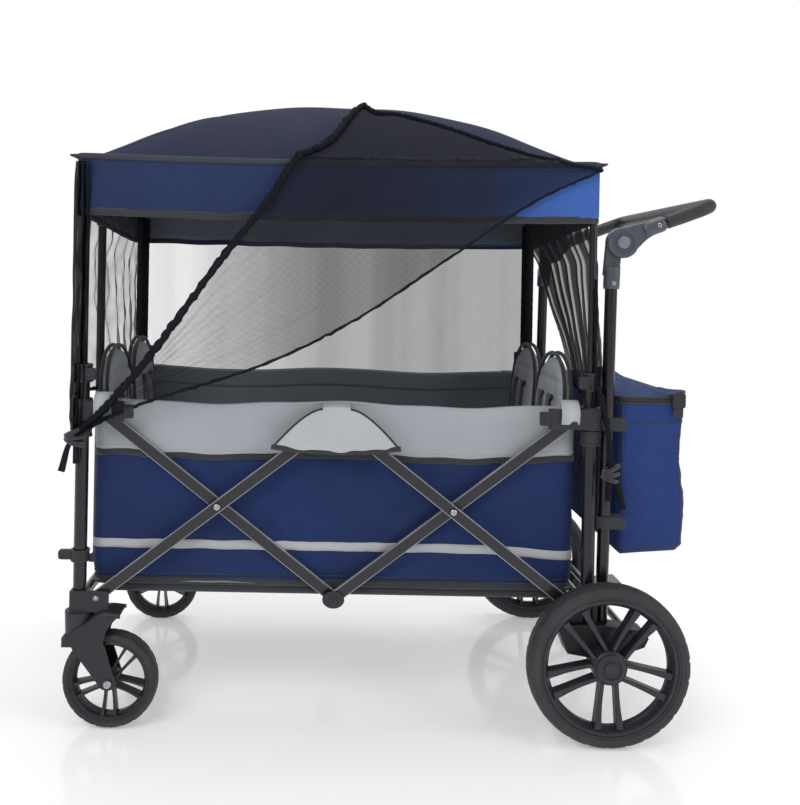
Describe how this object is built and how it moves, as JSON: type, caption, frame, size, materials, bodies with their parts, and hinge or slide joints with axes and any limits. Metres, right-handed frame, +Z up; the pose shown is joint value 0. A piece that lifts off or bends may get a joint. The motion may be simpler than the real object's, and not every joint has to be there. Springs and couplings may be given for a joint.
{
  "type": "folding kids pull wagon",
  "caption": "Folding stroller wagon with scissor side frames, fabric basket, canopy, insect nets, storage bag, push and pull handles, swivel casters and rear wheels.",
  "frame": {"origin": "on the floor, under the middle of the bounding box, push handle included", "axes": "+X towards the rear, the push handle end; +Y to the right-hand side of someone pushing it; +Z up"},
  "size_m": [1.2521, 0.695, 1.2236],
  "materials": {
    "black_frame": "satin black powder coat",
    "black_plastic": "moulded black, fine grain",
    "grey_plastic": "satin blue-grey mouldings",
    "tyre": "soft grey-black rubber",
    "grip": "closed-cell foam with a leather grain",
    "blue_fabric": "dark blue woven polyester",
    "canopy_fabric": "navy woven polyester with dark piping",
    "grey_fabric": "mid grey woven polyester with black piping",
    "light_fabric": "light grey woven polyester rim band",
    "dark_fabric": "black woven binding and webbing",
    "reflective": "light grey reflective tape",
    "net": "fine black insect mesh",
    "steel": "bright screws and axle bolts"
  },
  "bodies": {
    "rear_frame": {"basket": "blue_fabric", "floor_mat": "dark_fabric", "canopy": "canopy_fabric", "net_right": "net", "net_left": "net", "net_front": "net", "net_rear": "net", "storage_bag": "blue_fabric", "rear_axle": "black_frame", "rear_crossbar": "black_frame", "rear_seat_back_left": "grey_fabric", "rear_seat_back_right": "grey_fabric", "handle_tube_left": "black_frame", "handle_hinge_left": "grey_plastic", "rear_bracket_left": "black_plastic", "handle_tube_right": "black_frame", "handle_hinge_right": "grey_plastic", "rear_bracket_right": "black_plastic", "rear_left_post": "black_frame", "rear_left_pole": "black_frame", "rear_right_post": "black_frame", "rear_right_pole": "black_frame"},
    "rear_outer_arms": {"rear_outer_arm_left": "black_frame", "rear_outer_arm_right": "black_frame"},
    "rear_inner_arms": {"rear_inner_arm_left": "black_frame", "rear_inner_arm_right": "black_frame"},
    "rear_sliders": {"rear_slider_left": "black_plastic", "rear_slider_right": "black_plastic"},
    "front_outer_arms": {"front_outer_arm_left": "black_frame", "front_outer_arm_right": "black_frame"},
    "front_inner_arms": {"front_inner_arm_left": "black_frame", "front_inner_arm_right": "black_frame"},
    "front_sliders": {"front_slider_left": "black_plastic", "front_slider_right": "black_plastic"},
    "front_frame": {"front_crossbar": "black_frame", "front_seat_back_left": "grey_fabric", "front_seat_back_right": "grey_fabric", "front_bracket_left": "black_plastic", "front_bracket_right": "black_plastic", "front_left_post": "black_frame", "front_left_pole": "black_frame", "front_right_post": "black_frame", "front_right_pole": "black_frame"},
    "rear_bench": {"rear_bench_cushion": "grey_fabric"},
    "front_bench": {"front_bench_cushion": "grey_fabric"},
    "caster_left": {"caster_fork_left": "black_plastic"},
    "caster_right": {"caster_fork_right": "black_plastic"},
    "front_wheel_left": {"front_left_tyre": "tyre", "front_left_rim": "black_plastic"},
    "front_wheel_right": {"front_right_tyre": "tyre", "front_right_rim": "black_plastic"},
    "rear_wheel_left": {"rear_left_tyre": "tyre", "rear_left_rim": "black_plastic"},
    "rear_wheel_right": {"rear_right_tyre": "tyre", "rear_right_rim": "black_plastic"},
    "push_handle": {"push_handle_bar": "grip"},
    "pull_handle": {"pull_handle_shaft": "black_frame", "pull_handle_grip": "black_plastic"},
    "brake": {"brake_pedal": "black_plastic"},
    "bag_lid": {"storage_bag_lid": "blue_fabric"}
  },
  "joints": [
    {"name": "fold", "type": "hinge", "parent": "rear_frame", "child": "rear_outer_arms", "pos_m": [0.3475, 0, 0.246], "axis": [0, 1, 0], "range_deg": [0, 40], "deforming": ["basket", "floor_mat", "canopy", "net_left", "net_right", "net_front", "net_rear"]},
    {"name": "rear_cross_pivot", "type": "hinge", "parent": "rear_outer_arms", "child": "rear_inner_arms", "pos_m": [0.125, 0, 0.418], "axis": [0, 1, 0], "range_deg": [-80, 0]},
    {"name": "rear_slider_pivot", "type": "hinge", "parent": "rear_inner_arms", "child": "rear_sliders", "pos_m": [0.3475, 0, 0.59], "axis": [0, 1, 0], "range_deg": [0, 40]},
    {"name": "top_middle_pivot", "type": "hinge", "parent": "rear_outer_arms", "child": "front_outer_arms", "pos_m": [-0.0975, 0, 0.59], "axis": [0, 1, 0], "range_deg": [-80, 0]},
    {"name": "front_cross_pivot", "type": "hinge", "parent": "front_outer_arms", "child": "front_inner_arms", "pos_m": [-0.32, 0, 0.418], "axis": [0, 1, 0], "range_deg": [0, 80]},
    {"name": "front_slider_pivot", "type": "hinge", "parent": "front_inner_arms", "child": "front_sliders", "pos_m": [-0.5425, 0, 0.59], "axis": [0, 1, 0], "range_deg": [-40, 0]},
    {"name": "front_frame_pivot", "type": "hinge", "parent": "front_outer_arms", "child": "front_frame", "pos_m": [-0.5425, 0, 0.246], "axis": [0, 1, 0], "range_deg": [0, 40]},
    {"name": "rear_bench_lift", "type": "hinge", "parent": "rear_frame", "child": "rear_bench", "pos_m": [0.3225, 0, 0.445], "axis": [0, 1, 0], "range_deg": [0, 84]},
    {"name": "front_bench_lift", "type": "hinge", "parent": "front_frame", "child": "front_bench", "pos_m": [-0.5175, 0, 0.445], "axis": [0, 1, 0], "range_deg": [-84, 0]},
    {"name": "caster_swivel_left", "type": "hinge", "parent": "front_frame", "child": "caster_left", "pos_m": [-0.5775, -0.28, 0.19], "axis": [0, 0, 1], "continuous": true},
    {"name": "front_wheel_spin_left", "type": "hinge", "parent": "caster_left", "child": "front_wheel_left", "pos_m": [-0.5155, -0.28, 0.09], "axis": [0, 1, 0], "continuous": true},
    {"name": "rear_wheel_spin_left", "type": "hinge", "parent": "rear_frame", "child": "rear_wheel_left", "pos_m": [0.4095, -0.325, 0.15], "axis": [0, 1, 0], "continuous": true},
    {"name": "caster_swivel_right", "type": "hinge", "parent": "front_frame", "child": "caster_right", "pos_m": [-0.5775, 0.28, 0.19], "axis": [0, 0, 1], "continuous": true},
    {"name": "front_wheel_spin_right", "type": "hinge", "parent": "caster_right", "child": "front_wheel_right", "pos_m": [-0.5155, 0.28, 0.09], "axis": [0, 1, 0], "continuous": true},
    {"name": "rear_wheel_spin_right", "type": "hinge", "parent": "rear_frame", "child": "rear_wheel_right", "pos_m": [0.4095, 0.325, 0.15], "axis": [0, 1, 0], "continuous": true},
    {"name": "push_handle_tilt", "type": "hinge", "parent": "rear_frame", "child": "push_handle", "pos_m": [0.4395, 0, 0.93], "axis": [0, 1, 0], "range_deg": [-55, 70]},
    {"name": "pull_handle_tilt", "type": "hinge", "parent": "front_frame", "child": "pull_handle", "pos_m": [-0.6135, 0, 0.236], "axis": [0, 1, 0], "range_deg": [-105, 0]},
    {"name": "brake_press", "type": "hinge", "parent": "rear_frame", "child": "brake", "pos_m": [0.4675, 0, 0.184], "axis": [0, 1, 0], "range_deg": [0, 18]},
    {"name": "bag_lid_open", "type": "hinge", "parent": "rear_frame", "child": "bag_lid", "pos_m": [0.4435, 0, 0.6303], "axis": [0, 1, 0], "range_deg": [-100, 0]}
  ],
  "couplings": [
    {"joint": "rear_cross_pivot", "follows": "fold", "ratio": -2},
    {"joint": "rear_slider_pivot", "follows": "fold", "ratio": 1},
    {"joint": "top_middle_pivot", "follows": "fold", "ratio": -2},
    {"joint": "front_cross_pivot", "follows": "fold", "ratio": 2},
    {"joint": "front_slider_pivot", "follows": "fold", "ratio": -1},
    {"joint": "front_frame_pivot", "follows": "fold", "ratio": 1},
    {"joint": "rear_bench_lift", "follows": "fold", "ratio": 2.1},
    {"joint": "front_bench_lift", "follows": "fold", "ratio": -2.1}
  ]
}
